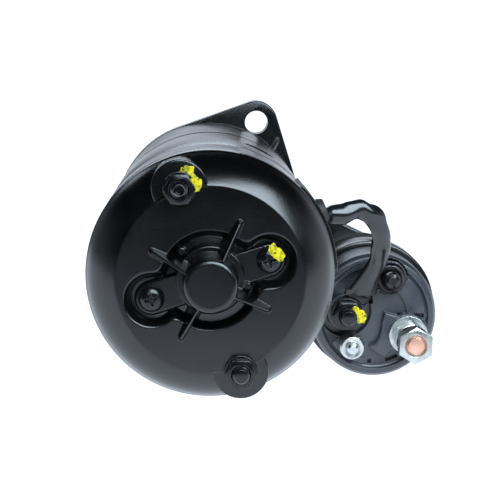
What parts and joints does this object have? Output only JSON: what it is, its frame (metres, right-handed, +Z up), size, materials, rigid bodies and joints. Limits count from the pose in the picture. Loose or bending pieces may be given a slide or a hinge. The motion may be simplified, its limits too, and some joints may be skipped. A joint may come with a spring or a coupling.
{
  "type": "starter motor",
  "caption": "Electric starter motor with side-mounted shift solenoid, sliding pinion drive and two-ear mounting flange for an engine bell housing.",
  "frame": {"origin": "centre of the mounting flange's engine face, on the motor axis", "axes": "+Y along the motor axis from the brush end to the pinion, +Z up, solenoid low on the +X side"},
  "size_m": [0.1427, 0.2785, 0.1128],
  "materials": {
    "black_paint": "satin black paint",
    "black_steel": "blackened steel",
    "zinc_plate": "bright zinc plate",
    "bare_steel": "machined steel",
    "copper": "bare copper",
    "bronze": "sintered bronze",
    "winding": "enamelled copper winding",
    "carbon": "pressed carbon",
    "rubber": "matt black rubber",
    "moulded_black": "moulded black"
  },
  "bodies": {
    "housing": {"battery_nut": "zinc_plate", "battery_stud": "copper", "battery_washer": "zinc_plate", "brush_1": "carbon", "brush_2": "carbon", "brush_3": "carbon", "brush_4": "carbon", "brush_plate": "zinc_plate", "brush_spring_1": "bare_steel", "brush_spring_2": "bare_steel", "brush_spring_3": "bare_steel", "brush_spring_4": "bare_steel", "cable_grommet": "rubber", "centre_bearing_plate": "black_paint", "cover_screw_left": "black_steel", "cover_screw_right": "black_steel", "drive_end_bracket": "black_paint", "field_winding": "winding", "lead_lug": "copper", "lever_pivot_pin": "zinc_plate", "motor_lead": "moulded_black", "motor_nut": "black_steel", "motor_stud": "copper", "nose_bush": "bronze", "plunger_spring": "bare_steel", "pole_screw_1": "black_steel", "pole_screw_2": "black_steel", "pole_screw_3": "black_steel", "pole_screw_4": "black_steel", "pole_shoe_1": "bare_steel", "pole_shoe_2": "bare_steel", "pole_shoe_3": "bare_steel", "pole_shoe_4": "bare_steel", "rear_bush": "bronze", "rear_cover": "black_paint", "return_terminal": "black_steel", "solenoid_can": "black_paint", "solenoid_cap": "moulded_black", "solenoid_coil": "winding", "solenoid_core": "bare_steel", "solenoid_gasket": "rubber", "solenoid_screw_lower": "zinc_plate", "solenoid_screw_upper": "zinc_plate", "stud_nut_lower": "black_steel", "stud_nut_upper": "black_steel", "switch_terminal": "zinc_plate", "through_stud_lower": "black_steel", "through_stud_upper": "black_steel", "yoke": "black_paint"},
    "armature": {"armature_shaft": "bare_steel", "armature_core": "bare_steel", "armature_winding": "winding", "commutator": "copper", "pinion_stop_ring": "bare_steel"},
    "drive": {"drive_sleeve": "bare_steel", "clutch_housing": "bare_steel"},
    "pinion": {"pinion": "bare_steel"},
    "lever": {"shift_lever": "black_steel"},
    "plunger": {"solenoid_plunger": "bare_steel"},
    "contact": {"contact_bridge": "copper"}
  },
  "joints": [
    {"name": "armature_spin", "type": "hinge", "parent": "housing", "child": "armature", "pos_m": [0, 0, 0], "axis": [0, 1, 0], "continuous": true},
    {"name": "drive_slide", "type": "slide", "parent": "armature", "child": "drive", "axis": [0, 1, 0], "range_m": [0, 0.012], "stiffness_N_per_m": 600, "springref_m": -0.02},
    {"name": "pinion_spin", "type": "hinge", "parent": "drive", "child": "pinion", "pos_m": [0, 0, 0], "axis": [0, 1, 0], "continuous": true},
    {"name": "lever_swing", "type": "hinge", "parent": "housing", "child": "lever", "pos_m": [0.03677, -0.033, -0.01576], "axis": [0.3939, 0, 0.9191], "range_deg": [-17.2, 0]},
    {"name": "plunger_slide", "type": "slide", "parent": "housing", "child": "plunger", "axis": [0, -1, 0], "range_m": [0, 0.0103], "deforming": ["plunger_spring"]},
    {"name": "contact_slide", "type": "slide", "parent": "housing", "child": "contact", "axis": [0, -1, 0], "range_m": [0, 0.002]}
  ],
  "couplings": [
    {"joint": "lever_swing", "follows": "drive_slide", "rad_per_m": -25},
    {"joint": "plunger_slide", "follows": "drive_slide", "ratio": 0.855},
    {"joint": "contact_slide", "follows": "drive_slide", "ratio": 0.1665}
  ]
}
